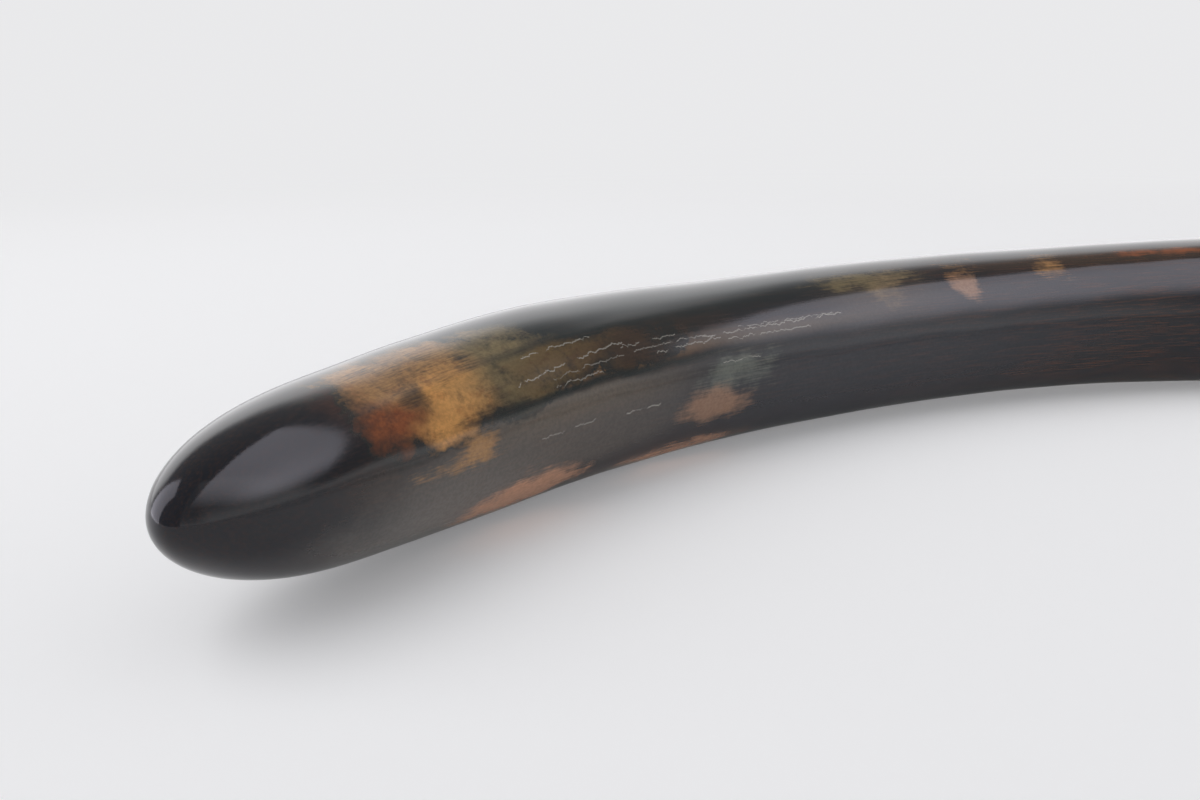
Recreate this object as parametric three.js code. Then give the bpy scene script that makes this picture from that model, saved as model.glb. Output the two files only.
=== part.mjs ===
// Mammoth tusk, one piece, lying on a level surface.
//
// The tusk is a horn-like bow: a blunt, worn tip, a round body that thickens slowly
// towards the root, and a root end cut square with the pulp cavity open in it.
// Millimetres, +Z up. The longest extent runs along X, and the origin is at the middle
// of the footprint, on the surface that the tusk lies on.

import * as THREE from 'three';

// Driving dimensions of the bow, seen from above
const LENGTH = 1500;
const TIP_HEADING = 75.5;
const ROOT_HEADING = -90;
const BEND_AT_TIP = 137;

// Stations along the tusk, measured from the tip along the middle line:
// where it is, how thick it is, and how far its underside clears the surface
const STATIONS = [
  { at: 0, diameter: 45, clearance: 14 },
  { at: 60, diameter: 52, clearance: 6 },
  { at: 120, diameter: 60, clearance: 0.7 },
  { at: 180, diameter: 63.5, clearance: 0 },
  { at: 290, diameter: 63, clearance: 0.2 },
  { at: 400, diameter: 63.5, clearance: 1.4 },
  { at: 500, diameter: 65.5, clearance: 2 },
  { at: 620, diameter: 71, clearance: 0.2 },
  { at: 760, diameter: 76, clearance: 0 },
  { at: 900, diameter: 81, clearance: 0 },
  { at: 1080, diameter: 87, clearance: 1.5 },
  { at: 1280, diameter: 92, clearance: 2.5 },
  { at: 1440, diameter: 94.5, clearance: 0.25 },
  { at: LENGTH, diameter: 95, clearance: 0 },
];

// The worn tip is a dome: fullness rises over this length, and two powers set how blunt it is
const DOME_LENGTH = 80;
const DOME_SHOULDER = 2.5;
const DOME_ROUNDNESS = 1.9;

// The pulp cavity is a tapering hollow that follows the bow
const CAVITY_MOUTH = 60;
const CAVITY_DEPTH = 220;
const CAVITY_TAPER = 0.8;

// Slow unevenness of a grown thing: each wave has a height, a count round the girth,
// a length along the tusk and a start angle
const WAVES = [
  { height: 0.25, round: 2, along: 1900, start: 0.6 },
  { height: 0.15, round: 0, along: 173, start: 1.1 },
  { height: 0.12, round: 1, along: 241, start: 2.3 },
  { height: 0.1, round: 3, along: 410, start: 4.0 },
];

// Facets
const SIDES = 48;
const DOME_RINGS = 13;
const BODY_STEP = 25;
const CAVITY_RINGS = 11;
const TRACE_STEP = 0.5;

const IVORY_COLOUR = 0x2f2a28;
const IVORY_ROUGHNESS = 0.22;

// A smooth curve through the stations: cubic pieces whose slope at each station
// is that of the line between its two neighbours
function stationSlope(index, key) {
  const before = STATIONS[Math.max(index - 1, 0)];
  const after = STATIONS[Math.min(index + 1, STATIONS.length - 1)];
  return (after[key] - before[key]) / (after.at - before.at);
}

function alongStations(at, key) {
  let index = 0;
  while (index < STATIONS.length - 2 && at >= STATIONS[index + 1].at) {
    index += 1;
  }
  const start = STATIONS[index];
  const end = STATIONS[index + 1];
  const span = end.at - start.at;
  const t = (at - start.at) / span;
  const rest = 1 - t;
  return (
    (1 + 2 * t) * rest * rest * start[key] +
    t * rest * rest * span * stationSlope(index, key) +
    t * t * (3 - 2 * t) * end[key] -
    t * t * rest * span * stationSlope(index + 1, key)
  );
}

// Compass heading of the middle line. The bend, in degrees a metre, falls evenly from
// the tip to the root, and its mean turns the tusk from one heading to the other.
function headingAt(at) {
  const meanBend = (TIP_HEADING - ROOT_HEADING) / (LENGTH / 1000);
  const bendAtRoot = 2 * meanBend - BEND_AT_TIP;
  const turned = BEND_AT_TIP * at + ((bendAtRoot - BEND_AT_TIP) * at * at) / (2 * LENGTH);
  return THREE.MathUtils.degToRad(TIP_HEADING - turned / 1000);
}

// The middle line, traced from the tip in short straight steps
function traceMiddleLine() {
  const points = [new THREE.Vector2(0, 0)];
  const steps = LENGTH / TRACE_STEP;
  for (let step = 0; step < steps; step += 1) {
    const heading = headingAt((step + 0.5) * TRACE_STEP);
    const last = points[step];
    points.push(
      new THREE.Vector2(
        last.x + Math.cos(heading) * TRACE_STEP,
        last.y + Math.sin(heading) * TRACE_STEP,
      ),
    );
  }
  return points;
}

const MIDDLE_LINE = traceMiddleLine();

function middleAt(at) {
  const step = Math.min(Math.floor(at / TRACE_STEP), MIDDLE_LINE.length - 2);
  const plan = MIDDLE_LINE[step].clone().lerp(MIDDLE_LINE[step + 1], at / TRACE_STEP - step);
  const height = alongStations(at, 'clearance') + alongStations(at, 'diameter') / 2;
  return new THREE.Vector3(plan.x, plan.y, height);
}

// Directions of a section: along the tusk, level across it, and upwards
function sectionFrame(at) {
  const before = middleAt(Math.max(at - TRACE_STEP, 0));
  const after = middleAt(Math.min(at + TRACE_STEP, LENGTH));
  const heading = headingAt(at);
  const climb = (after.z - before.z) / Math.hypot(after.x - before.x, after.y - before.y);
  const along = new THREE.Vector3(Math.cos(heading), Math.sin(heading), climb).normalize();
  const across = new THREE.Vector3(-Math.sin(heading), Math.cos(heading), 0);
  return { across, upward: new THREE.Vector3().crossVectors(along, across) };
}

// Share of the full thickness left by the worn dome at the tip
function domeShare(at) {
  const t = Math.min(at / DOME_LENGTH, 1);
  return (1 - (1 - t) ** DOME_SHOULDER) ** (1 / DOME_ROUNDNESS);
}

function unevenness(at, angle) {
  let sum = 0;
  for (const wave of WAVES) {
    sum += wave.height * Math.sin(wave.round * angle + (2 * Math.PI * at) / wave.along + wave.start);
  }
  return sum;
}

function outerRadius(at, angle) {
  const full = alongStations(at, 'diameter') / 2 + unevenness(at, angle);
  return full * domeShare(at);
}

function cavityRadius(at) {
  const deep = (LENGTH - at) / CAVITY_DEPTH;
  return (CAVITY_MOUTH / 2) * (1 - deep) ** CAVITY_TAPER;
}

// Places of the rings from the tip to the root, closer together round the dome
function outerPlaces() {
  const places = [];
  for (let ring = 1; ring < DOME_RINGS; ring += 1) {
    places.push(DOME_LENGTH * (ring / DOME_RINGS) ** 2);
  }
  const bodySteps = Math.round((LENGTH - DOME_LENGTH) / BODY_STEP);
  for (let step = 0; step <= bodySteps; step += 1) {
    places.push(DOME_LENGTH + ((LENGTH - DOME_LENGTH) * step) / bodySteps);
  }
  return places;
}

// Places of the rings in the cavity, from its mouth towards its bottom
function cavityPlaces() {
  const places = [];
  for (let ring = 0; ring < CAVITY_RINGS; ring += 1) {
    places.push(LENGTH - (CAVITY_DEPTH * ring) / CAVITY_RINGS);
  }
  return places;
}

function addRing(positions, at, radiusOf) {
  const middle = middleAt(at);
  const { across, upward } = sectionFrame(at);
  for (let side = 0; side < SIDES; side += 1) {
    const angle = (2 * Math.PI * side) / SIDES;
    const radius = radiusOf(at, angle);
    const point = middle.clone();
    point.addScaledVector(across, radius * Math.cos(angle));
    point.addScaledVector(upward, radius * Math.sin(angle));
    positions.push(point.x, point.y, point.z);
  }
}

// Triangles from the tip's pole over the rings to the pole at the cavity's bottom
function skinIndices(ringCount) {
  const indices = [];
  const lastPole = 1 + ringCount * SIDES;
  for (let side = 0; side < SIDES; side += 1) {
    const next = (side + 1) % SIDES;
    indices.push(0, 1 + next, 1 + side);
    for (let ring = 0; ring < ringCount - 1; ring += 1) {
      const here = 1 + ring * SIDES;
      const there = here + SIDES;
      indices.push(here + side, here + next, there + next);
      indices.push(here + side, there + next, there + side);
    }
    const last = 1 + (ringCount - 1) * SIDES;
    indices.push(last + side, last + next, lastPole);
  }
  return indices;
}

function tuskGeometry() {
  const tip = middleAt(0);
  const positions = [tip.x, tip.y, tip.z];
  const outside = outerPlaces();
  const inside = cavityPlaces();
  outside.forEach((at) => addRing(positions, at, outerRadius));
  inside.forEach((at) => addRing(positions, at, cavityRadius));
  const bottom = middleAt(LENGTH - CAVITY_DEPTH);
  positions.push(bottom.x, bottom.y, bottom.z);

  const geometry = new THREE.BufferGeometry();
  geometry.setAttribute('position', new THREE.Float32BufferAttribute(positions, 3));
  geometry.setIndex(skinIndices(outside.length + inside.length));
  geometry.computeBoundingBox();
  const box = geometry.boundingBox;
  geometry.translate(-(box.min.x + box.max.x) / 2, -(box.min.y + box.max.y) / 2, -box.min.z);
  geometry.computeVertexNormals();
  return geometry;
}

const ivory = new THREE.MeshStandardMaterial({
  color: IVORY_COLOUR,
  roughness: IVORY_ROUGHNESS,
  metalness: 0,
});

const tusk = new THREE.Mesh(tuskGeometry(), ivory);
tusk.name = 'tusk';

const mammothTusk = new THREE.Group();
mammothTusk.add(tusk);

export default mammothTusk;
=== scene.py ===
"""A mammoth tusk, polished dark by long burial, on a pale studio floor."""

import math

import bpy
import numpy as np
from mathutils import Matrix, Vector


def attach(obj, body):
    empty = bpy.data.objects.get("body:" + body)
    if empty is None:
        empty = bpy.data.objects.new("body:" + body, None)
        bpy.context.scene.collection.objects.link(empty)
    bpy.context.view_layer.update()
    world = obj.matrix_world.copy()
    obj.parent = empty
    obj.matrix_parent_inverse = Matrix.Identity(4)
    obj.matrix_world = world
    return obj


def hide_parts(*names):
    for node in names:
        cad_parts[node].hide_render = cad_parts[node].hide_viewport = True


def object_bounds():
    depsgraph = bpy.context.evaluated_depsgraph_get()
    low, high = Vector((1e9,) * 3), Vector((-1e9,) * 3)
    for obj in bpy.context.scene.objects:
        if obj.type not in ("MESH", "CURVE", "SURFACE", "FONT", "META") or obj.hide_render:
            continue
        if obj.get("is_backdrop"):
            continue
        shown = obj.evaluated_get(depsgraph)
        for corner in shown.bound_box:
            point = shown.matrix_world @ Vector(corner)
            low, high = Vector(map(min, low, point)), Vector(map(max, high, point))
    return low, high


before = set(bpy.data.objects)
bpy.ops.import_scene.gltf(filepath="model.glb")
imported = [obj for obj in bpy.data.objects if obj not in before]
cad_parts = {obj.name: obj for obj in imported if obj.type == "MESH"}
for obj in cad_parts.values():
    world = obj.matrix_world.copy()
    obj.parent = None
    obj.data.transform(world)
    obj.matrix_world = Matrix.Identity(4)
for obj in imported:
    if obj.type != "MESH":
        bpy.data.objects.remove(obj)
CAD_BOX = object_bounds()

bl_info = {
    "name": "Mammoth Tusk",
    "version": (1, 0, 0),
    "blender": (4, 5, 0),
    "location": "View3D > Sidebar > Tusk",
    "description": "Builds a polished, stained mammoth tusk and its studio",
    "category": "Object",
}

# Stations along the tusk in metres from the tip: place, thickness, clearance under it
STATIONS = np.array((
    (0.000, 0.0450, 0.0140),
    (0.060, 0.0520, 0.0060),
    (0.120, 0.0600, 0.0007),
    (0.180, 0.0635, 0.0000),
    (0.290, 0.0630, 0.0002),
    (0.400, 0.0635, 0.0014),
    (0.500, 0.0655, 0.0020),
    (0.620, 0.0710, 0.0002),
    (0.760, 0.0760, 0.0000),
    (0.900, 0.0810, 0.0000),
    (1.080, 0.0870, 0.0015),
    (1.280, 0.0920, 0.0025),
    (1.440, 0.0945, 0.00025),
    (1.500, 0.0950, 0.0000),
))
THICKNESS = 1
CLEARANCE = 2

# Points of the traced middle line, and rings of the mesh on each stretch
TRACE_POINTS = 3001
DOME_RINGS = 70
ROUNDING_RINGS = 6
FACE_RINGS = 12
WALL_RINGS = 44

# Radius at which the skin is laid out flat, in metres
SHEET_RADIUS = 0.032

# Tint of the panels that show in reflections, and the share of the floor's glow there
PANEL_TINT = (0.97, 0.945, 1.07)
MIRRORED_GLOW = 0.3

# Slow unevenness: height in metres, count round the girth, length along, start angle
GROWTH_WAVES = (
    (0.00025, 2, 1.900, 0.6),
    (0.00015, 0, 0.173, 1.1),
    (0.00012, 1, 0.241, 2.3),
    (0.00010, 3, 0.410, 4.0),
)
# The hand of the polisher: shallow flats that bend the reflections a little
POLISH_WAVES = (
    (0.000035, 4, 0.097, 0.3),
    (0.000030, 5, 0.061, 2.1),
    (0.000022, 7, 0.083, 4.4),
    (0.000016, 9, 0.047, 1.7),
    (0.000012, 13, 0.039, 5.2),
)


class TuskShape(bpy.types.PropertyGroup):
    """Sizes of the tusk's bow, its worn tip and its root."""

    length: bpy.props.FloatProperty(
        name="Length", description="Length along the middle line",
        default=1.5, unit="LENGTH")
    tip_heading: bpy.props.FloatProperty(
        name="Tip heading", description="Heading of the middle line at the tip, from +X",
        default=math.radians(75.5), subtype="ANGLE")
    root_heading: bpy.props.FloatProperty(
        name="Root heading", description="Heading of the middle line at the root, from +X",
        default=math.radians(-90.0), subtype="ANGLE")
    bend_at_tip: bpy.props.FloatProperty(
        name="Bend at tip", description="Turn a metre at the tip",
        default=math.radians(137.0), subtype="ANGLE")
    dome_length: bpy.props.FloatProperty(
        name="Dome length", description="Length over which the worn tip fills out",
        default=0.080, unit="LENGTH")
    dome_shoulder: bpy.props.FloatProperty(
        name="Dome shoulder", description="Power that sets how far the dome's shoulder reaches",
        default=2.5)
    dome_roundness: bpy.props.FloatProperty(
        name="Dome roundness", description="Power that sets how blunt the dome is",
        default=1.9)
    cavity_mouth: bpy.props.FloatProperty(
        name="Cavity mouth", description="Diameter of the pulp cavity at the cut end",
        default=0.060, unit="LENGTH")
    cavity_depth: bpy.props.FloatProperty(
        name="Cavity depth", description="Depth of the pulp cavity along the middle line",
        default=0.220, unit="LENGTH")
    cavity_taper: bpy.props.FloatProperty(
        name="Cavity taper", description="Power of the cavity's taper", default=0.8)
    rim_rounding: bpy.props.FloatProperty(
        name="Rim rounding", description="Rounding of the cut end's outer edge",
        default=0.0016, unit="LENGTH")
    lip_rounding: bpy.props.FloatProperty(
        name="Lip rounding", description="Rounding of the cavity's lip",
        default=0.0010, unit="LENGTH")
    rings: bpy.props.IntProperty(
        name="Rings", description="Rings of the skin along the body", default=700, min=40)
    sides: bpy.props.IntProperty(
        name="Sides", description="Points round each ring", default=112, min=12)


class TuskFinish(bpy.types.PropertyGroup):
    """Colours and polish of the tusk."""

    night: bpy.props.FloatVectorProperty(
        name="Blue-black", description="Colour of the darkest, mineral-stained skin",
        default=(0.0040, 0.0050, 0.0100), subtype="COLOR", size=3)
    umber: bpy.props.FloatVectorProperty(
        name="Umber", description="Colour of the brown-black skin",
        default=(0.0100, 0.0078, 0.0085), subtype="COLOR", size=3)
    brown: bpy.props.FloatVectorProperty(
        name="Brown", description="Colour of the warm brown veils",
        default=(0.050, 0.028, 0.015), subtype="COLOR", size=3)
    # Grey-brown veil behind the tip: partly the skin's own colour, partly painted reflection of
    # the floor on the tusk's lower side
    taupe_and_painted_reflection: bpy.props.FloatVectorProperty(
        name="Taupe", description="Colour of the grey-brown veil behind the tip",
        default=(0.100, 0.083, 0.070), subtype="COLOR", size=3)
    slate: bpy.props.FloatVectorProperty(
        name="Slate", description="Colour of the cool grey stretch",
        default=(0.031, 0.033, 0.041), subtype="COLOR", size=3)
    # Painted reflection: a light grey base colour on the underside of the tip that stands in
    # for the bright floor mirrored there
    painted_floor_reflection: bpy.props.FloatVectorProperty(
        name="Putty", description="Colour of the grey underside of the tip",
        default=(0.180, 0.165, 0.150), subtype="COLOR", size=3)
    rust: bpy.props.FloatVectorProperty(
        name="Rust", description="Colour of the rust-red stains",
        default=(0.310, 0.085, 0.023), subtype="COLOR", size=3)
    amber: bpy.props.FloatVectorProperty(
        name="Amber", description="Colour of the orange stains",
        default=(0.450, 0.235, 0.085), subtype="COLOR", size=3)
    ochre: bpy.props.FloatVectorProperty(
        name="Ochre", description="Colour of the golden stains",
        default=(0.740, 0.360, 0.105), subtype="COLOR", size=3)
    moss: bpy.props.FloatVectorProperty(
        name="Moss", description="Colour of the green-grey mottles",
        default=(0.230, 0.175, 0.085), subtype="COLOR", size=3)
    olive: bpy.props.FloatVectorProperty(
        name="Olive", description="Colour of the golden-green band",
        default=(0.150, 0.092, 0.033), subtype="COLOR", size=3)
    sand: bpy.props.FloatVectorProperty(
        name="Sand", description="Colour of the pale, sandy stains",
        default=(0.240, 0.170, 0.095), subtype="COLOR", size=3)
    blush: bpy.props.FloatVectorProperty(
        name="Blush", description="Colour of the pinkish stains",
        default=(0.340, 0.190, 0.115), subtype="COLOR", size=3)
    clay: bpy.props.FloatVectorProperty(
        name="Clay", description="Colour of the orange stains underneath",
        default=(0.620, 0.320, 0.185), subtype="COLOR", size=3)
    vivianite: bpy.props.FloatVectorProperty(
        name="Vivianite", description="Colour of the blue-green mineral stain",
        default=(0.010, 0.017, 0.017), subtype="COLOR", size=3)
    bloom: bpy.props.FloatVectorProperty(
        name="Bloom", description="Colour of the pale blue-grey bloom",
        default=(0.150, 0.165, 0.140), subtype="COLOR", size=3)
    crack: bpy.props.FloatVectorProperty(
        name="Crack", description="Colour of the dust in the hairline cracks",
        default=(0.520, 0.495, 0.440), subtype="COLOR", size=3)
    cut: bpy.props.FloatVectorProperty(
        name="Cut ivory", description="Colour of the ivory at the cut end",
        default=(0.420, 0.310, 0.190), subtype="COLOR", size=3)
    gloss: bpy.props.FloatProperty(
        name="Gloss", description="Roughness of the polished skin",
        default=0.10, min=0.02, max=1.0)


class StageSetup(bpy.types.PropertyGroup):
    """Camera place and light levels of the studio."""

    camera_place: bpy.props.FloatVectorProperty(
        name="Camera place", description="Where the camera stands",
        default=(-0.4187, -0.3384, 0.1326), subtype="XYZ", unit="LENGTH", size=3)
    camera_pitch: bpy.props.FloatProperty(
        name="Camera pitch", description="How far the camera looks down",
        default=math.radians(12.85), subtype="ANGLE")
    camera_turn: bpy.props.FloatProperty(
        name="Camera turn", description="How far the camera turns from +Y towards +X",
        default=math.radians(0.40), subtype="ANGLE")
    lens: bpy.props.FloatProperty(
        name="Lens", description="Focal length in millimetres on a 36 mm wide sensor",
        default=39.9)
    room: bpy.props.FloatProperty(
        name="Room", description="Brightness of the room on matt surfaces", default=0.40)
    floor_glow: bpy.props.FloatProperty(
        name="Floor glow", description="Light that comes through the translucent floor",
        default=0.165)
    backdrop: bpy.props.FloatProperty(
        name="Backdrop", description="Brightness of the room seen directly", default=0.83)
    sweep: bpy.props.FloatProperty(
        name="Sweep", description="Brightness of the backdrop in reflections", default=1.45)
    backdrop_colour: bpy.props.FloatVectorProperty(
        name="Backdrop colour", description="Colour of the room seen directly",
        default=(0.985, 0.985, 1.0), subtype="COLOR", size=3)
    fade_start: bpy.props.FloatProperty(
        name="Fade start", description="Where the floor starts to fade into the backdrop",
        default=0.75, unit="LENGTH")
    fade_end: bpy.props.FloatProperty(
        name="Fade end", description="Where the floor has become the backdrop",
        default=2.0, unit="LENGTH")


# Shape

def along_stations(places, column):
    """Cubic pieces through the stations. On each span the value is the Hermite blend of
    the two end values and the two end slopes, and a station's slope is that of the line
    between its neighbours."""
    at = STATIONS[:, 0]
    value = STATIONS[:, column]
    before = np.maximum(np.arange(len(at)) - 1, 0)
    after = np.minimum(np.arange(len(at)) + 1, len(at) - 1)
    slope = (value[after] - value[before]) / (at[after] - at[before])
    k = np.clip(np.searchsorted(at, places, side="right") - 1, 0, len(at) - 2)
    span = at[k + 1] - at[k]
    t = (places - at[k]) / span
    rest = 1 - t
    return (
        (1 + 2 * t) * rest ** 2 * value[k] + t * rest ** 2 * span * slope[k]
        + t ** 2 * (3 - 2 * t) * value[k + 1] - t ** 2 * rest * span * slope[k + 1]
    )


def headings(places, shape):
    """Heading = tip heading minus the turn so far, where the bend falls evenly from the
    tip to the root and its mean turns the tusk from one heading to the other."""
    mean_bend = (shape.tip_heading - shape.root_heading) / shape.length
    root_bend = 2 * mean_bend - shape.bend_at_tip
    easing = (root_bend - shape.bend_at_tip) * places ** 2 / (2 * shape.length)
    return shape.tip_heading - shape.bend_at_tip * places - easing


def section_frames(places, shape):
    """Middle points and the level and upward directions of the sections. The middle line
    is the running sum of short steps along the heading; its height is the clearance plus
    half the thickness."""
    fine = np.linspace(0, shape.length, TRACE_POINTS)
    step = headings((fine[1:] + fine[:-1]) / 2, shape)
    size = fine[1] - fine[0]
    x = np.concatenate(([0], np.cumsum(np.cos(step) * size)))
    y = np.concatenate(([0], np.cumsum(np.sin(step) * size)))
    z = along_stations(fine, CLEARANCE) + along_stations(fine, THICKNESS) / 2
    climb = np.interp(places, fine, np.gradient(z, fine))
    turn = headings(places, shape)
    middle = np.stack([np.interp(places, fine, row) for row in (x, y, z)], 1)
    along = np.stack([np.cos(turn), np.sin(turn), climb], 1)
    along /= np.linalg.norm(along, axis=1)[:, None]
    across = np.stack([-np.sin(turn), np.cos(turn), np.zeros_like(turn)], 1)
    return middle, across, np.cross(along, across)


def skin_radius(places, angles, shape):
    """Radius of the skin = (half the thickness + waves) times the dome's share. A wave is
    height * sin(count * angle + 2 pi * place / length + start), and the share is
    (1 - (1 - t) ^ shoulder) ^ (1 / roundness) with t the place over the dome's length."""
    full = np.repeat(along_stations(places, THICKNESS)[:, None] / 2, len(angles), 1)
    for height, count, length, start in GROWTH_WAVES + POLISH_WAVES:
        phase = 2 * math.pi * places[:, None] / length + start
        full = full + height * np.sin(count * angles[None, :] + phase)
    t = np.clip(places / shape.dome_length, 0, 1)
    share = (1 - (1 - t) ** shape.dome_shoulder) ** (1 / shape.dome_roundness)
    return full * share[:, None]


def tusk_profile(shape):
    """Places and radii of all rings, from the tip over the skin, round the rim, across
    the cut face and down the cavity. The rounded rim and lip are quarter circles, each
    shared half and half by the two finishes that meet on it. The cavity's radius is half
    its mouth times (1 - depth share) ^ taper."""
    angles = np.linspace(0, 2 * math.pi, shape.sides, endpoint=False)
    dome = shape.dome_length * np.linspace(0, 1, DOME_RINGS + 2)[1:-1] ** 2
    body = np.linspace(shape.dome_length, shape.length - shape.rim_rounding, shape.rings)
    skin = np.concatenate((dome, body))
    quarter = np.linspace(0, math.pi / 2, ROUNDING_RINGS + 1)[1:]
    rim = shape.length - shape.rim_rounding * (1 - np.sin(quarter))
    rim_inset = shape.rim_rounding * (1 - np.cos(quarter))
    edge = skin_radius(np.array([shape.length]), angles, shape)
    lip_radius = shape.cavity_mouth / 2 + shape.lip_rounding
    face_share = np.linspace(0, 1, FACE_RINGS + 2)[1:-1]
    outer = edge - shape.rim_rounding
    face = outer + (lip_radius - outer) * face_share[:, None]
    lip = shape.length - shape.lip_rounding * (1 - np.cos(quarter))
    lip_ring = lip_radius - shape.lip_rounding * np.sin(quarter)
    depth = np.linspace(0, 1, WALL_RINGS + 2)[1:-1]
    wall = shape.cavity_mouth / 2 * (1 - depth) ** shape.cavity_taper
    deep = shape.length - shape.lip_rounding - (
        shape.cavity_depth - shape.lip_rounding) * depth
    places = np.concatenate((
        skin, rim, np.full(len(face_share) + 1, shape.length), lip, deep))
    radii = np.concatenate((
        skin_radius(skin, angles, shape),
        skin_radius(rim, angles, shape) - rim_inset[:, None],
        face,
        np.full((1, len(angles)), lip_radius),
        np.repeat(lip_ring[:, None], len(angles), 1),
        np.repeat(wall[:, None], len(angles), 1),
    ))
    half = ROUNDING_RINGS // 2
    parts = np.concatenate((
        np.zeros(len(skin) + half, int),
        np.full(len(rim) + FACE_RINGS + 1, 1),
        np.full(len(lip) - half + len(deep), 2),
    ))
    return places, radii, angles, parts


def ring_faces(rings, sides):
    """Quads between neighbouring rings, and a fan of triangles at each pole."""
    side = np.arange(sides)
    follow = (side + 1) % sides
    start = 1 + np.arange(rings - 1)[:, None] * sides
    quads = np.stack((
        start + side, start + follow, start + sides + follow, start + sides + side), 2)
    last = 1 + (rings - 1) * sides
    tip = np.stack((np.zeros(sides, int), 1 + follow, 1 + side), 1)
    bottom = np.stack((last + side, last + follow, np.full(sides, last + sides)), 1)
    return quads.reshape(-1, 4), tip, bottom


def build_tusk_mesh(shape):
    """Point = middle + radius * (cos angle * across + sin angle * upward). The mesh also
    keeps each point's place on the tusk as if it were unbent."""
    places, radii, angles, parts = tusk_profile(shape)
    middle, across, upward = section_frames(places, shape)
    level = radii * np.cos(angles)
    raised = radii * np.sin(angles)
    rings = middle[:, None] + level[..., None] * across[:, None]
    rings = rings + raised[..., None] * upward[:, None]
    bottom_place = shape.length - shape.cavity_depth
    poles = section_frames(np.array([0.0, bottom_place]), shape)[0]
    points = np.concatenate((poles[:1], rings.reshape(-1, 3), poles[1:]))
    low, high = points.min(0), points.max(0)
    points -= np.array([(low[0] + high[0]) / 2, (low[1] + high[1]) / 2, low[2]])
    unbent = np.stack(
        (np.repeat(places[:, None], len(angles), 1), level, raised), 2).reshape(-1, 3)
    unbent = np.concatenate(([[0.0, 0.0, 0.0]], unbent, [[bottom_place, 0.0, 0.0]]))

    quads, tip, bottom = ring_faces(len(places), len(angles))
    mesh = bpy.data.meshes.new("mammoth_tusk")
    mesh.from_pydata(points, [], tip.tolist() + quads.tolist() + bottom.tolist())
    mesh.update()
    straight = mesh.attributes.new("unbent", "FLOAT_VECTOR", "POINT")
    straight.data.foreach_set("vector", unbent.astype(np.float32).ravel())
    slots = np.concatenate((
        np.zeros(len(tip), int),
        np.repeat(parts[1:], len(angles)),
        np.full(len(bottom), 2),
    ))
    mesh.polygons.foreach_set("material_index", slots.astype(np.int32))
    mesh.polygons.foreach_set("use_smooth", np.ones(len(slots), bool))
    add_uv_map(mesh, points, places, len(angles))
    return mesh


def add_uv_map(mesh, points, places, sides):
    """A map of the skin: u is the path length along the rings over the whole path, v the
    share of the girth, and a corner past the seam counts on instead of jumping back."""
    least_step = 1e-4
    margin = 0.01
    step = np.abs(np.diff(places)) + least_step
    path = np.concatenate(([0.0], np.cumsum(step)))
    path = (path + margin) / (path[-1] + 2 * margin)
    corners = np.empty(len(mesh.loops), np.int32)
    mesh.loops.foreach_get("vertex_index", corners)
    starts = np.empty(len(mesh.polygons), np.int32)
    totals = np.empty(len(mesh.polygons), np.int32)
    mesh.polygons.foreach_get("loop_start", starts)
    mesh.polygons.foreach_get("loop_total", totals)
    face = np.repeat(np.arange(len(starts)), totals)
    pole = (corners == 0) | (corners == len(points) - 1)
    ring = np.clip((corners - 1) // sides, 0, len(places) - 1)
    side = np.where(pole, 0, (corners - 1) % sides)
    has_last = np.zeros(len(starts), bool)
    np.logical_or.at(has_last, face, (side == sides - 1) & ~pole)
    share = (side + np.where(has_last[face] & (side == 0) & ~pole, sides, 0)) / sides
    u = np.where(corners == 0, 0.0, np.where(corners == len(points) - 1, 1.0, path[ring]))
    layer = mesh.uv_layers.new(name="skin_map")
    layer.data.foreach_set("uv", np.stack((u, share), 1).astype(np.float32).ravel())


# Node building

def put(tree, kind, sockets, out=0, **settings):
    """Adds a node, sets or links its sockets and returns one of its outputs."""
    node = tree.nodes.new(kind)
    for name, value in settings.items():
        setattr(node, name, value)
    for key, value in sockets.items():
        socket = node.inputs[key]
        if isinstance(value, bpy.types.NodeSocket):
            tree.links.new(value, socket)
        else:
            socket.default_value = value
    return node.outputs[out]


def maths(tree, operation, *values, clamp=False):
    """A Math node."""
    sockets = dict(enumerate(values))
    return put(tree, "ShaderNodeMath", sockets, operation=operation, use_clamp=clamp)


def product(tree, first, *others):
    """Multiplies several values with one another."""
    for other in others:
        first = maths(tree, "MULTIPLY", first, other)
    return first


def blend(tree, first, second, share):
    """A share of the first value and the rest of the second."""
    return maths(tree, "ADD", maths(tree, "MULTIPLY", first, share),
                 maths(tree, "MULTIPLY", second, 1.0 - share))


def vectors(tree, operation, *values, out=0):
    """A Vector Math node."""
    sockets = dict(enumerate(values))
    return put(tree, "ShaderNodeVectorMath", sockets, out=out, operation=operation)


def parts_of(tree, vector):
    """The three numbers of a vector."""
    return put(tree, "ShaderNodeSeparateXYZ", {0: vector}).node.outputs


def flat_place(tree, x, y):
    """A vector from two numbers."""
    return put(tree, "ShaderNodeCombineXYZ", {0: x, 1: y, 2: 0.0})


def rise(tree, value, low, high, to_low=0.0, to_high=1.0):
    """A smooth step from one level to another as the value goes from low to high."""
    sockets = {0: value, 1: low, 2: high, 3: to_low, 4: to_high}
    return put(tree, "ShaderNodeMapRange", sockets, interpolation_type="SMOOTHSTEP")


def lay_over(tree, under, over, factor, mode="MIX"):
    """Mixes one colour over another."""
    sockets = {0: factor, 6: under, 7: over}
    return put(tree, "ShaderNodeMix", sockets, out=2, data_type="RGBA", blend_type=mode)


def noise(tree, vector, scale, detail=3.0, rough=0.55, out=0):
    """A noise texture."""
    sockets = {"Vector": vector, "Scale": scale, "Detail": detail, "Roughness": rough}
    return put(tree, "ShaderNodeTexNoise", sockets, out=out)


def line_noise(tree, run, scale, detail, rough=0.5):
    """A noise texture along one direction."""
    sockets = {"W": run, "Scale": scale, "Detail": detail, "Roughness": rough}
    return put(tree, "ShaderNodeTexNoise", sockets, noise_dimensions="1D")


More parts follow.
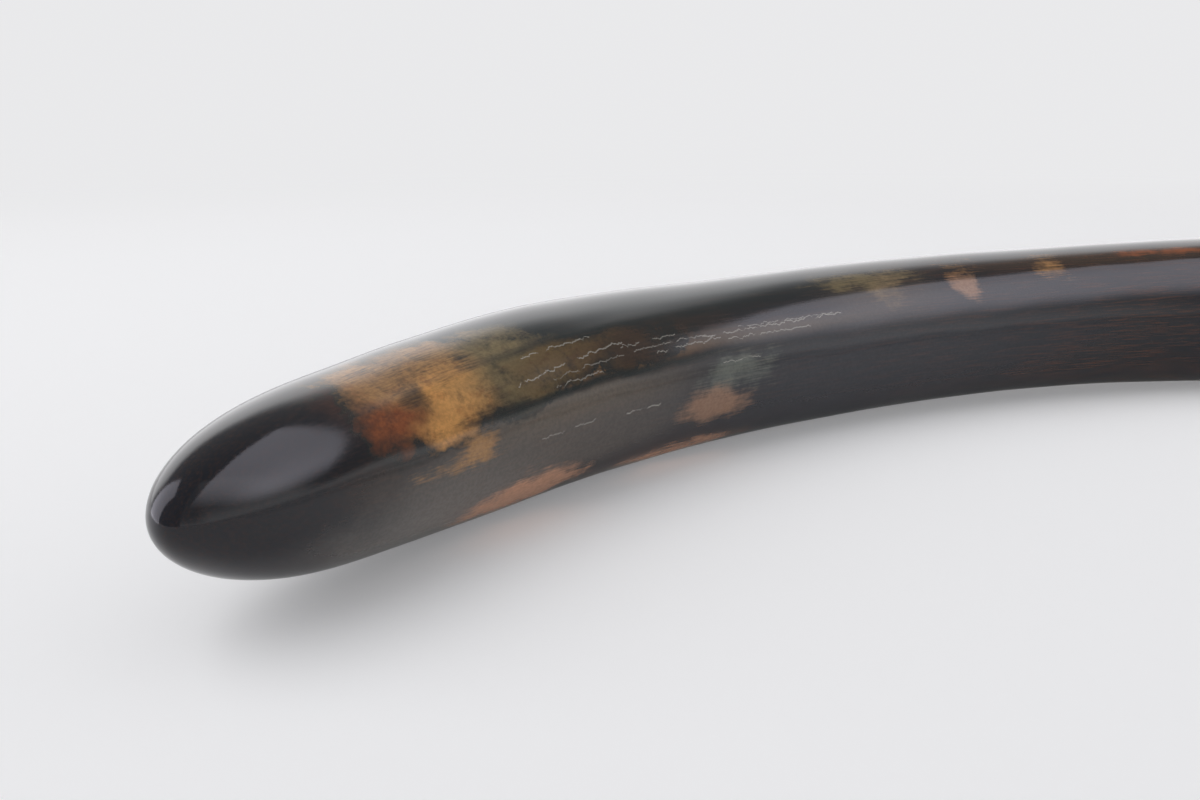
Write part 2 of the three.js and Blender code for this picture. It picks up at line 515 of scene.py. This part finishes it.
def stretch(tree, vector, factors, shift=(0.0, 0.0, 0.0)):
    """Scales a place by one factor for each axis, then moves it."""
    return vectors(tree, "MULTIPLY_ADD", vector, factors, shift)


def colour(values):
    """A colour property as the four numbers that a socket takes."""
    return (*values, 1.0)


def new_group(name, inputs, outputs):
    """An empty node group with named sockets. Returns its tree and its input node."""
    tree = bpy.data.node_groups.new(name, "ShaderNodeTree")
    for label, kind in inputs:
        tree.interface.new_socket(label, in_out="INPUT", socket_type="NodeSocket" + kind)
    for label, kind in outputs:
        tree.interface.new_socket(label, in_out="OUTPUT", socket_type="NodeSocket" + kind)
    return tree, tree.nodes.new("NodeGroupInput").outputs


def close_group(tree, results):
    """Links the results to the group's outputs."""
    end = tree.nodes.new("NodeGroupOutput")
    for label, value in results.items():
        tree.links.new(value, end.inputs[label])
    return tree


def use(tree, group, sockets, out=0):
    """Places a node group in a tree."""
    return put(tree, "ShaderNodeGroup", sockets, out=out, node_tree=group)


# Shared effects

def sheet_group():
    """The skin laid out flat: metres along the tusk, and metres round it from the line
    that faces the inside of the bow, counted upwards at the usual girth."""
    tree, given = new_group("skin_sheet", (("Place", "Vector"),), (("Sheet", "Vector"),))
    parts = parts_of(tree, given["Place"])
    inside = maths(tree, "MULTIPLY", parts[1], -1.0)
    angle = maths(tree, "ARCTAN2", parts[2], inside)
    around = maths(tree, "MULTIPLY", angle, SHEET_RADIUS)
    sheet = flat_place(tree, parts[0], around)
    return close_group(tree, {"Sheet": sheet})


def patch_group():
    """Mask of one stain on the flat sheet: the distance from its centre, measured in its
    own reaches, falls through 1 with the given softness."""
    tree, given = new_group(
        "stain_patch",
        (("Sheet", "Vector"), ("Centre", "Vector"), ("Reach", "Vector"),
         ("Softness", "Float")),
        (("Mask", "Float"),))
    offset = vectors(tree, "SUBTRACT", given["Sheet"], given["Centre"])
    distance = vectors(tree, "LENGTH", vectors(tree, "DIVIDE", offset, given["Reach"]), out=1)
    low = maths(tree, "SUBTRACT", 1.0, given["Softness"])
    high = maths(tree, "ADD", 1.0, given["Softness"])
    return close_group(tree, {"Mask": rise(tree, distance, low, high, 1.0, 0.0)})


def hairline_group():
    """Mask of one hairline crack on the flat sheet: a thin line along the tusk, which
    jags up to two millimetres either way and breaks up into dashes."""
    tree, given = new_group(
        "hairline_crack",
        (("Sheet", "Vector"), ("Start", "Float"), ("End", "Float"), ("Height", "Float"),
         ("Slant", "Float"), ("Width", "Float"), ("Seed", "Float")),
        (("Mask", "Float"),))
    parts = parts_of(tree, given["Sheet"])
    run = maths(tree, "SUBTRACT", parts[0], given["Start"])
    centre = maths(tree, "MULTIPLY_ADD", run, given["Slant"], given["Height"])
    offset = maths(tree, "SUBTRACT", parts[1], centre)
    seeded = maths(tree, "ADD", parts[0], given["Seed"])
    jags = line_noise(tree, seeded, 180.0, 5.0, 0.74)
    swing = maths(tree, "MULTIPLY_ADD", jags, 0.0040, -0.0020)
    gap = maths(tree, "ABSOLUTE", maths(tree, "SUBTRACT", offset, swing))
    dashes = line_noise(tree, maths(tree, "ADD", seeded, 3.7), 95.0, 3.0)
    broken = rise(tree, dashes, 0.32, 0.50)
    width = maths(tree, "MULTIPLY", given["Width"], broken)
    safe_width = maths(tree, "MAXIMUM", width, 0.00002)
    line = maths(tree, "SUBTRACT", 1.0, maths(tree, "DIVIDE", gap, safe_width), clamp=True)
    begun = maths(tree, "GREATER_THAN", parts[0], given["Start"])
    open_end = maths(tree, "LESS_THAN", parts[0], given["End"])
    return close_group(tree, {"Mask": product(tree, line, begun, open_end, broken)})


def grain_group():
    """What grows in ivory: fibres drawn out along the tusk, slow clouds, a mottle that
    eats into stains, fine specks, and a drift that bends the stains' outlines. The
    factors count the noise's cells in a metre, along the tusk and across it."""
    tree, given = new_group(
        "ivory_grain",
        (("Place", "Vector"),),
        (("Fibre", "Float"), ("Cloud", "Float"), ("Wide", "Float"), ("Mottle", "Float"),
         ("Patchy", "Float"), ("Speck", "Float"), ("Drift", "Vector")))
    place = given["Place"]
    fibre = noise(tree, stretch(tree, place, (60.0, 1500.0, 1500.0)), 1.0, 4.0, 0.60)
    cloud = noise(tree, stretch(tree, place, (9.0, 24.0, 24.0)), 1.0, 3.0, 0.55)
    wide = noise(tree, stretch(tree, place, (7.0, 24.0, 24.0), (1.7, 4.1, 0.3)),
                 1.0, 4.0, 0.58)
    mottle = noise(tree, stretch(tree, place, (80.0, 120.0, 120.0)), 1.0, 7.0, 0.62)
    patchy = noise(tree, stretch(tree, place, (150.0, 210.0, 210.0), (3.1, 0.7, 5.3)),
                   1.0, 5.0, 0.6)
    speck = noise(tree, stretch(tree, place, (620.0, 900.0, 900.0)), 1.0, 3.0, 0.6)
    drift = noise(tree, stretch(tree, place, (48.0, 75.0, 75.0)), 1.0, 3.0, 0.55, out=1)
    centred = vectors(tree, "SUBTRACT", drift, (0.5, 0.5, 0.5))
    moved = vectors(tree, "MULTIPLY", centred, (0.026, 0.013, 0.0))
    return close_group(tree, {
        "Fibre": fibre, "Cloud": cloud, "Wide": wide, "Mottle": mottle,
        "Patchy": patchy, "Speck": speck, "Drift": moved})


# Materials

# A row of the four tables holds: colour, place in millimetres from the tip, angle in
# degrees (90 is on top, 180 faces the inside of the bow), half length in millimetres, half
# width in degrees, softness and strength

# Even, see-through veils, under everything else
VEILS = (
    ("night", 30, 180, 44, 70, 0.8, 0.8),
    ("rust", 68, 118, 13, 24, 0.9, 0.22),
    ("brown", 58, 176, 14, 12, 0.9, 0.40),
    # Grey-brown veil, partly painted reflection of the floor on the lower side behind the tip
    ("taupe_and_painted_reflection", 152, 187, 84, 29, 0.35, 1.0),
    ("sand", 176, 171, 54, 9, 0.9, 0.24),
    ("slate", 330, 185, 110, 48, 0.8, 1.0),
    ("vivianite", 215, 118, 110, 18, 0.6, 0.8),
    ("brown", 480, 118, 85, 10, 0.7, 0.9),
    # Painted reflection of the floor, laid as light grey on the underside of the tip
    ("painted_floor_reflection", 92, 220, 42, 26, 0.9, 1.0),
    ("brown", 205, 144, 40, 14, 0.8, 0.7),
    ("ochre", 176, 155, 50, 4, 0.9, 0.24),
    ("sand", 264, 151, 52, 5, 0.9, 0.32),
    ("sand", 342, 132, 26, 20, 0.9, 0.15),
)
# Stains, whose edges go through blue-green
STAINS = (
    ("amber", 80, 106, 24, 22, 0.9, 0.85),
    ("rust", 71, 141, 13, 20, 0.8, 1.15),
    ("amber", 80, 122, 13, 12, 0.9, 0.80),
    ("amber", 112, 110, 19, 20, 0.9, 0.95),
    ("moss", 134, 117, 22, 15, 0.9, 0.85),
    ("ochre", 104, 141, 16, 23, 0.7, 1.25),
    ("ochre", 90, 158, 11, 8, 0.9, 1.05),
    ("moss", 131, 141, 21, 18, 0.9, 1.05),
    ("olive", 163, 143, 30, 13, 0.9, 1.0),
    ("brown", 198, 145, 28, 12, 0.9, 0.75),
)
# Patches that the grain breaks up into threads
MOTTLES = (
    ("vivianite", 86, 134, 7, 8, 0.9, 0.85),
    ("vivianite", 102, 116, 36, 18, 0.8, 0.62),
    ("vivianite", 120, 150, 9, 10, 0.9, 0.55),
    ("vivianite", 98, 118, 24, 4, 0.9, 0.48),
    ("vivianite", 128, 127, 20, 5, 0.9, 0.46),
    ("vivianite", 84, 102, 24, 5, 0.9, 0.56),
    ("vivianite", 122, 160, 20, 4, 0.9, 1.05),
    ("amber", 106, 174, 9, 11, 0.9, 1.00),
    ("amber", 92, 181, 20, 6, 0.9, 0.64),
    ("bloom", 252, 175, 22, 15, 0.9, 0.90),
    ("blush", 241, 196, 20, 12, 0.9, 1.15),
    ("clay", 138, 224, 30, 16, 0.8, 1.25),
    ("clay", 133, 206, 6, 10, 0.9, 0.50),
    ("clay", 228, 236, 38, 12, 0.9, 1.00),
    ("moss", 338, 121, 28, 12, 0.9, 0.80),
    ("sand", 350, 131, 13, 17, 0.9, 0.72),
    ("amber", 393, 116, 11, 16, 0.9, 0.50),
    ("blush", 393, 138, 9, 11, 0.8, 1.10),
    ("amber", 441, 120, 10, 20, 0.9, 0.62),
    ("rust", 514, 115, 44, 6, 0.9, 0.80),
)
# Narrow dark lines, over all the rest
DARK_LINES = (
    ("vivianite", 188, 128, 58, 3.2, 0.8, 0.80),
    ("vivianite", 182, 161, 66, 2.5, 0.8, 0.9),
)

# Hairline cracks: start and end in millimetres, angle in degrees, slant, half width in
# millimetres and seed
CRACKS = (
    (132, 193, 149, 0.070, 0.27, 0.1),
    (141, 178, 134, 0.010, 0.24, 1.3),
    (150, 176, 157, 0.020, 0.20, 2.9),
    (190, 222, 145, 0.030, 0.18, 8.3),
    (208, 246, 153, 0.030, 0.22, 4.1),
    (236, 322, 149, 0.015, 0.26, 5.3),
    (250, 298, 153, 0.000, 0.22, 6.7),
    (186, 206, 185, 0.000, 0.26, 9.9),
    (138, 168, 183, 0.000, 0.16, 7.5),
    (150, 190, 152, 0.030, 0.15, 13.7),
    (196, 238, 149, 0.020, 0.17, 11.2),
    (258, 318, 146, 0.000, 0.17, 12.4),
    (244, 266, 168, 0.020, 0.18, 14.9),
)


def on_sheet(place, angle):
    """A point of the flat sheet from millimetres along and degrees round."""
    return (place / 1000, math.radians(180 - angle) * SHEET_RADIUS, 0.0)


def patch_masks(tree, group, spots, sheet, finish):
    """The colour and the mask of each spot in a table."""
    for name, place, angle, length, width, softness, strength in spots:
        mask = use(tree, group, {
            "Sheet": sheet, "Centre": on_sheet(place, angle),
            "Reach": (length / 1000, math.radians(width) * SHEET_RADIUS, 1.0),
            "Softness": softness})
        yield colour(getattr(finish, name)), mask, strength


def lay_stain(tree, finish, base, hue, amount, rough):
    """A stain over the skin. The roughness breaks its edge up, and the edge runs from
    blue-green through a dim tone to the full colour."""
    broken = maths(tree, "ADD", amount, rough)
    stained = rise(tree, amount, 0.01, 0.38)
    edge = colour(finish.vivianite)
    begun = maths(tree, "MULTIPLY", rise(tree, broken, 0.12, 0.40), stained)
    base = lay_over(tree, base, edge, begun)
    dim = maths(tree, "MULTIPLY", rise(tree, broken, 0.26, 0.56), stained)
    base = lay_over(tree, base, lay_over(tree, edge, hue, 0.38), dim)
    full = maths(tree, "MULTIPLY", rise(tree, broken, 0.40, 1.05), stained)
    return lay_over(tree, base, hue, full)


def lay_veils(tree, base, masks, crumbs):
    """Even spots over the skin, a little uneven with the crumbs."""
    for tint, mask, strength in masks:
        veil = maths(tree, "MULTIPLY", maths(tree, "MULTIPLY", mask, strength), crumbs,
                     clamp=True)
        base = lay_over(tree, base, tint, veil)
    return base


def unseen_region(tree, sheet):
    """Mask of the skin that the tables don't cover: the far part of the tusk, and the
    outside of the bow."""
    parts = parts_of(tree, sheet)
    far = rise(tree, parts[0], 0.56, 0.66)
    over = rise(tree, parts[1], 0.056, 0.072)
    under = rise(tree, parts[1], -0.048, -0.058)
    outside = maths(tree, "MULTIPLY", maths(tree, "MAXIMUM", over, under),
                    rise(tree, parts[0], 0.10, 0.16))
    return maths(tree, "MAXIMUM", far, outside)


def skin_colours(tree, finish, grain, sheet):
    """Dark skin under soft veils, then the stains, then the thready mottles and dark
    lines. Where no table reaches, slow noise lays out stains of the same kind."""
    streaky = blend(tree, grain["Fibre"], grain["Cloud"], 0.4)
    base = lay_over(tree, colour(finish.night), colour(finish.umber),
                    rise(tree, streaky, 0.42, 0.62))
    calm = vectors(tree, "MULTIPLY_ADD", grain["Drift"], (0.8, 0.3, 0.0), sheet)
    drifted = vectors(tree, "ADD", sheet, grain["Drift"])
    patch = patch_group()
    crumbs = rise(tree, streaky, 0.40, 0.60, 0.95, 1.02)
    base = lay_veils(tree, base, patch_masks(tree, patch, VEILS, calm, finish), crumbs)
    mixed = blend(tree, grain["Mottle"], grain["Speck"], 0.86)
    rough = maths(tree, "MULTIPLY_ADD", mixed, 2.8, -1.4)
    deepening = rise(tree, grain["Patchy"], 0.52, 0.66, 0.0, 0.55)

    unseen = unseen_region(tree, sheet)
    haze = maths(tree, "MULTIPLY", rise(tree, grain["Wide"], 0.42, 0.58), unseen)
    base = lay_over(tree, base, colour(finish.brown), maths(tree, "MULTIPLY", haze, 0.55))
    hue = lay_over(tree, colour(finish.olive), colour(finish.amber),
                   rise(tree, grain["Cloud"], 0.46, 0.60))
    spread = maths(tree, "MULTIPLY", rise(tree, grain["Wide"], 0.53, 0.66), unseen)
    base = lay_stain(tree, finish, base, hue, spread, rough)

    hue = colour(finish.umber)
    clean = 1.0
    for tint, mask, strength in patch_masks(tree, patch, STAINS, drifted, finish):
        hue = lay_over(tree, hue, tint, mask)
        left = maths(tree, "SUBTRACT", 1.0, maths(tree, "MULTIPLY", mask, strength))
        clean = maths(tree, "MULTIPLY", clean, maths(tree, "MAXIMUM", left, 0.0))
    deep = lay_over(tree, hue, colour(finish.rust), 0.45, "MULTIPLY")
    hue = lay_over(tree, hue, deep, deepening)
    amount = maths(tree, "SUBTRACT", 1.0, clean)
    base = lay_stain(tree, finish, base, hue, amount, rough)

    threads = blend(tree, grain["Mottle"], grain["Fibre"], 0.60)
    thready = maths(tree, "MULTIPLY_ADD", threads, 2.8, -1.4)
    for tint, mask, strength in patch_masks(tree, patch, MOTTLES, calm, finish):
        raised = maths(tree, "ADD", maths(tree, "MULTIPLY", mask, strength), thready)
        spot = maths(tree, "MULTIPLY", rise(tree, raised, 0.26, 1.10),
                     rise(tree, mask, 0.02, 0.30, 0.0, 0.88))
        base = lay_over(tree, base, tint, spot)
    return lay_veils(tree, base, patch_masks(tree, patch, DARK_LINES, calm, finish), crumbs)


def warm_streaks(tree, grain, sheet):
    """Mask of the fine, warm, lengthwise streaks beyond the bend."""
    parts = parts_of(tree, sheet)
    begun = rise(tree, parts[0], 0.30, 0.46, 0.25, 1.0)
    threads = rise(tree, grain["Fibre"], 0.44, 0.70)
    broad = rise(tree, grain["Cloud"], 0.38, 0.60, 0.5, 1.0)
    return product(tree, begun, threads, broad)


def skin_cracks(tree, sheet):
    """The largest of the hairline masks."""
    group = hairline_group()
    total = None
    for start, end, angle, slant, width, seed in CRACKS:
        mask = use(tree, group, {
            "Sheet": sheet, "Start": start / 1000, "End": end / 1000,
            "Height": on_sheet(0, angle)[1], "Slant": slant, "Width": width / 1000,
            "Seed": seed})
        total = mask if total is None else maths(tree, "MAXIMUM", total, mask)
    return total


def start_material(name):
    """A new material with its nodes, its shader and the tusk's unbent places."""
    material = bpy.data.materials.new(name)
    material.use_nodes = True
    tree = material.node_tree
    shader = tree.nodes["Principled BSDF"]
    place = put(tree, "ShaderNodeAttribute", {}, out=1, attribute_name="unbent")
    return material, tree, shader, place


def polished_skin(finish):
    """Dark, stained, hand-polished skin."""
    material, tree, shader, place = start_material("polished_skin")
    grain = use(tree, grain_group(), {"Place": place}).node.outputs
    sheet = use(tree, sheet_group(), {"Place": place})
    base = skin_colours(tree, finish, grain, sheet)
    streaks = maths(tree, "MULTIPLY", warm_streaks(tree, grain, sheet), 0.20)
    base = lay_over(tree, base, colour(finish.rust), streaks)
    shade = rise(tree, grain["Speck"], 0.36, 0.64, 0.90, 1.08)
    base = put(tree, "ShaderNodeVectorMath", {0: base, "Scale": shade}, operation="SCALE")
    base = lay_over(tree, base, colour(finish.crack), skin_cracks(tree, sheet))
    tree.links.new(base, shader.inputs["Base Color"])
    rough = rise(tree, grain["Fibre"], 0.2, 0.8, finish.gloss - 0.02, finish.gloss + 0.04)
    tree.links.new(rough, shader.inputs["Roughness"])
    shader.inputs["IOR"].default_value = 1.50
    relief = put(tree, "ShaderNodeBump", {
        "Strength": 1.0, "Distance": 0.000012, "Height": grain["Fibre"]})
    tree.links.new(relief, shader.inputs["Normal"])
    return material


def polar_place(tree, place):
    """Distance from the tusk's middle line and the angle round it, in radians."""
    parts = parts_of(tree, place)
    flat = flat_place(tree, parts[1], parts[2])
    return vectors(tree, "LENGTH", flat, out=1), maths(tree, "ARCTAN2", parts[2], parts[1])


def cut_ivory(finish):
    """Bare ivory of the cut end: fine growth rings and rays, darker towards the skin and
    the cavity."""
    material, tree, shader, place = start_material("cut_ivory")
    radius, angle = polar_place(tree, place)
    wobble = noise(tree, place, 45.0, 3.0)
    depth = maths(tree, "MULTIPLY_ADD", wobble, 0.004, radius)
    rings = line_noise(tree, depth, 900.0, 4.0, 0.7)
    spokes = flat_place(tree, maths(tree, "MULTIPLY", radius, 90.0),
                        maths(tree, "MULTIPLY", angle, 26.0))
    rays = noise(tree, spokes, 1.0, 4.0, 0.65)
    base = lay_over(tree, colour(finish.cut), colour(finish.amber),
                    rise(tree, rings, 0.42, 0.66))
    base = lay_over(tree, base, colour(finish.brown), rise(tree, rays, 0.50, 0.72, 0.0, 0.4))
    rind = rise(tree, depth, 0.0445, 0.0485)
    bark = rise(tree, depth, 0.0475, 0.0495)
    cavity_side = rise(tree, depth, 0.0350, 0.0320)
    base = lay_over(tree, base, colour(finish.brown), rind)
    base = lay_over(tree, base, colour(finish.umber), bark)
    base = lay_over(tree, base, colour(finish.brown), cavity_side)
    tree.links.new(base, shader.inputs["Base Color"])
    shader.inputs["Roughness"].default_value = 0.48
    relief = put(tree, "ShaderNodeBump", {
        "Strength": 0.6, "Distance": 0.00015, "Height": rings})
    tree.links.new(relief, shader.inputs["Normal"])
    return material


def cavity_wall(finish):
    """Dull wall of the pulp cavity, grooved lengthwise and stained brown."""
    material, tree, shader, place = start_material("cavity_wall")
    angle = polar_place(tree, place)[1]
    parts = parts_of(tree, place)
    wall = flat_place(tree, maths(tree, "MULTIPLY", parts[0], 14.0),
                      maths(tree, "MULTIPLY", angle, 7.0))
    grooves = noise(tree, wall, 1.0, 6.0, 0.66)
    base = lay_over(tree, colour(finish.brown), colour(finish.rust),
                    rise(tree, grooves, 0.40, 0.64))
    base = lay_over(tree, base, colour(finish.umber), rise(tree, grooves, 0.46, 0.36))
    tree.links.new(base, shader.inputs["Base Color"])
    shader.inputs["Roughness"].default_value = 0.72
    relief = put(tree, "ShaderNodeBump", {
        "Strength": 0.7, "Distance": 0.0008, "Height": grooves})
    tree.links.new(relief, shader.inputs["Normal"])
    return material


class TUSK_OT_add_tusk(bpy.types.Operator):
    """Builds the tusk in place of its plain solid"""

    bl_idname = "tusk.add_tusk"
    bl_label = "Tusk"

    def execute(self, context):
        mesh = build_tusk_mesh(context.scene.tusk_shape)
        tusk = bpy.data.objects.new("mammoth_tusk", mesh)
        context.scene.collection.objects.link(tusk)
        finish = context.scene.tusk_finish
        for make in (polished_skin, cut_ivory, cavity_wall):
            mesh.materials.append(make(finish))
        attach(tusk, "root")
        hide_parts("tusk")
        # Its guessed far half would show as a dark line in the shine
        tusk.visible_glossy = False
        return {"FINISHED"}


# Stage

def add_floor(stage):
    """A wide, pale, satin floor, lit a little from below except in reflections. Far out it
    fades into the backdrop's own brightness, so that no horizon shows."""
    reach = 30.0
    corners = [(-reach, -reach, 0), (reach, -reach, 0), (reach, reach, 0), (-reach, reach, 0)]
    mesh = bpy.data.meshes.new("floor")
    mesh.from_pydata(corners, [], [(0, 1, 2, 3)])
    floor = bpy.data.objects.new("floor", mesh)
    bpy.context.scene.collection.objects.link(floor)
    material = bpy.data.materials.new("pale_floor")
    material.use_nodes = True
    tree = material.node_tree
    shader = tree.nodes["Principled BSDF"]
    shader.inputs["Base Color"].default_value = (0.80, 0.80, 0.812, 1.0)
    shader.inputs["Roughness"].default_value = 0.45
    shader.inputs["IOR"].default_value = 1.12
    shader.inputs["Emission Color"].default_value = colour(stage.backdrop_colour)
    mirrored = put(tree, "ShaderNodeLightPath", {}).node.outputs["Is Glossy Ray"]
    drop = (MIRRORED_GLOW - 1.0) * stage.floor_glow
    glowing = maths(tree, "MULTIPLY_ADD", mirrored, drop, stage.floor_glow)
    tree.links.new(glowing, shader.inputs["Emission Strength"])
    place = put(tree, "ShaderNodeTexCoord", {}, out=3)
    distance = vectors(tree, "LENGTH", place, out=1)
    far = rise(tree, distance, stage.fade_start, stage.fade_end)
    glow = put(tree, "ShaderNodeEmission", {
        "Color": colour(stage.backdrop_colour), "Strength": stage.backdrop})
    mixed = put(tree, "ShaderNodeMixShader", {0: far, 1: shader.outputs[0], 2: glow})
    tree.links.new(mixed, tree.nodes["Material Output"].inputs["Surface"])
    mesh.materials.append(material)
    floor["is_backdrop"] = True


def add_light(name, place, turn, size, radiance, diffuse, glossy):
    """A rectangular lamp. Its power is 4 * radiance * area, as Blender counts it."""
    data = bpy.data.lights.new(name, "AREA")
    data.shape = "RECTANGLE"
    data.size, data.size_y = size
    data.energy = 4 * radiance * size[0] * size[1]
    data.color = PANEL_TINT if glossy else (1.0, 1.0, 1.0)
    lamp = bpy.data.objects.new(name, data)
    lamp.location = place
    lamp.rotation_euler = turn
    lamp.visible_camera = False
    lamp.visible_diffuse = diffuse
    lamp.visible_glossy = glossy
    bpy.context.scene.collection.objects.link(lamp)
    return data


def facing(place, target):
    """The turn that points a lamp from its place at a target."""
    aim = np.array(target, float) - np.array(place, float)
    heading = math.atan2(aim[1], aim[0])
    tilt = math.atan2(math.hypot(aim[0], aim[1]), -aim[2])
    return tilt, 0.0, heading - math.pi / 2


def grade_top_panel(data):
    """Lets the top panel fade towards its left end, its right end and the camera, and a
    little at its far edge."""
    data.use_nodes = True
    tree = data.node_tree
    spot = put(tree, "ShaderNodeNewGeometry", {}, out=5)
    parts = parts_of(tree, spot)
    left = rise(tree, parts[0], 0.10, 0.45, 0.76, 1.0)
    right = rise(tree, parts[0], 0.36, 0.98, 1.0, 0.12)
    near = rise(tree, parts[1], 0.0, 0.55, 0.10, 1.0)
    far = rise(tree, parts[1], 0.70, 1.0, 1.0, 0.80)
    across = maths(tree, "MULTIPLY", left, right)
    share = maths(tree, "MULTIPLY", across, maths(tree, "MULTIPLY", near, far))
    tree.links.new(share, tree.nodes["Emission"].inputs["Strength"])


def set_world(stage):
    """An even room for matt surfaces and a plain pale one for the view itself. In
    reflections the backdrop is bright up to a slanting edge, the room behind it dim and
    the right side lit. A low band of light runs on from there, and all but the backdrop
    dims towards the floor."""
    world = bpy.data.worlds.new("studio")
    bpy.context.scene.world = world
    world.use_nodes = True
    tree = world.node_tree
    tree.nodes.clear()
    direction = put(tree, "ShaderNodeTexCoord", {}, out=0)
    parts = parts_of(tree, direction)
    compass = maths(tree, "ARCTAN2", parts[0], parts[1])
    slant = maths(tree, "MULTIPLY_ADD", parts[0], -0.15, parts[2])

    def bearing(low, high, *levels):
        return rise(tree, compass, math.radians(low), math.radians(high), *levels)

    below_edge = rise(tree, slant, 0.47, 0.68, 1.0, 0.0)
    sweep = product(tree, bearing(32, 46, 1.0, 0.0), bearing(-60, -45), below_edge)
    side_foot = rise(tree, parts[2], 0.05, 0.60, 0.62, 0.30)
    side = product(tree, bearing(74, 88), bearing(128, 150, 1.0, 0.60), side_foot)
    low = product(tree, bearing(50, 64), rise(tree, parts[2], 0.08, 0.22, 0.58, 0.0))
    lift = rise(tree, parts[2], 0.0, 0.12, 0.50, 1.0)
    around = maths(tree, "MULTIPLY", maths(tree, "MAXIMUM", side, low), lift)
    lit = maths(tree, "MAXIMUM", sweep, around)
    mirrored = rise(tree, lit, 0.0, 1.0, 0.30, stage.sweep)
    rays = put(tree, "ShaderNodeLightPath", {}).node.outputs
    seen = maths(tree, "MULTIPLY", rays["Is Camera Ray"], stage.backdrop)
    soft = maths(tree, "MULTIPLY", rays["Is Diffuse Ray"], stage.room)
    mirror = maths(tree, "MULTIPLY", rays["Is Glossy Ray"], mirrored)
    total = maths(tree, "ADD", maths(tree, "ADD", seen, soft), mirror)
    glow = tree.nodes.new("ShaderNodeBackground")
    glow.inputs["Color"].default_value = colour(stage.backdrop_colour)
    tree.links.new(total, glow.inputs["Strength"])
    end = tree.nodes.new("ShaderNodeOutputWorld")
    tree.links.new(glow.outputs[0], end.inputs["Surface"])


def add_camera(stage):
    """The camera stands low before the tusk and looks a little down."""
    data = bpy.data.cameras.new("camera")
    data.sensor_width = 36.0
    data.lens = stage.lens
    data.clip_start = 0.01
    data.clip_end = 100.0
    camera = bpy.data.objects.new("camera", data)
    camera.location = stage.camera_place
    camera.rotation_euler = (
        math.pi / 2 - stage.camera_pitch, 0.0, -stage.camera_turn)
    bpy.context.scene.collection.objects.link(camera)
    bpy.context.scene.camera = camera


class TUSK_OT_add_stage(bpy.types.Operator):
    """Sets up the floor, the lamps, the room and the camera"""

    bl_idname = "tusk.add_stage"
    bl_label = "Stage"

    def execute(self, context):
        stage = context.scene.tusk_stage
        add_floor(stage)
        top_panel = add_light(
            "top_panel", place=(0.565, -0.0525, 0.60), turn=(0.0, 0.0, 0.0),
            size=(1.87, 0.895), radiance=1.6, diffuse=False, glossy=True)
        grade_top_panel(top_panel)
        left_place = (-1.10, 0.09, 0.55)
        add_light(
            "left_panel", place=left_place, turn=facing(left_place, (-0.50, 0.09, 0.55)),
            size=(0.45, 1.10), radiance=1.2, diffuse=False, glossy=True)
        soft_place = (-4.00, -1.20, 3.60)
        add_light(
            "soft_left_light", place=soft_place, turn=facing(soft_place, (-0.3, 0.0, 0.0)),
            size=(7.6, 6.4), radiance=1.30, diffuse=True, glossy=False)
        set_world(stage)
        add_camera(stage)
        context.scene.view_settings.view_transform = "Standard"
        return {"FINISHED"}


class TUSK_PT_panel(bpy.types.Panel):
    """Sizes, colours and the two steps"""

    bl_label = "Mammoth Tusk"
    bl_idname = "TUSK_PT_panel"
    bl_space_type = "VIEW_3D"
    bl_region_type = "UI"
    bl_category = "Tusk"

    def draw(self, context):
        layout = self.layout
        for operator in (TUSK_OT_add_tusk, TUSK_OT_add_stage):
            layout.operator(operator.bl_idname)
        for group in ("tusk_shape", "tusk_finish", "tusk_stage"):
            settings = getattr(context.scene, group)
            for name in settings.__annotations__:
                layout.prop(settings, name)


CLASSES = (
    TuskShape, TuskFinish, StageSetup,
    TUSK_OT_add_tusk, TUSK_OT_add_stage, TUSK_PT_panel,
)


def register():
    """Registers the classes and hangs the settings on the scene."""
    for item in CLASSES:
        bpy.utils.register_class(item)
    bpy.types.Scene.tusk_shape = bpy.props.PointerProperty(type=TuskShape)
    bpy.types.Scene.tusk_finish = bpy.props.PointerProperty(type=TuskFinish)
    bpy.types.Scene.tusk_stage = bpy.props.PointerProperty(type=StageSetup)


def unregister():
    """Takes the settings off the scene and unregisters the classes."""
    for name in ("tusk_shape", "tusk_finish", "tusk_stage"):
        delattr(bpy.types.Scene, name)
    for item in reversed(CLASSES):
        bpy.utils.unregister_class(item)


def main():
    register()
    bpy.ops.tusk.add_tusk()
    bpy.ops.tusk.add_stage()
    boxes = {"cad": CAD_BOX, "visual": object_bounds()}
    plain = {name: [list(corner) for corner in box] for name, box in boxes.items()}


if __name__ == "__main__":
    main()
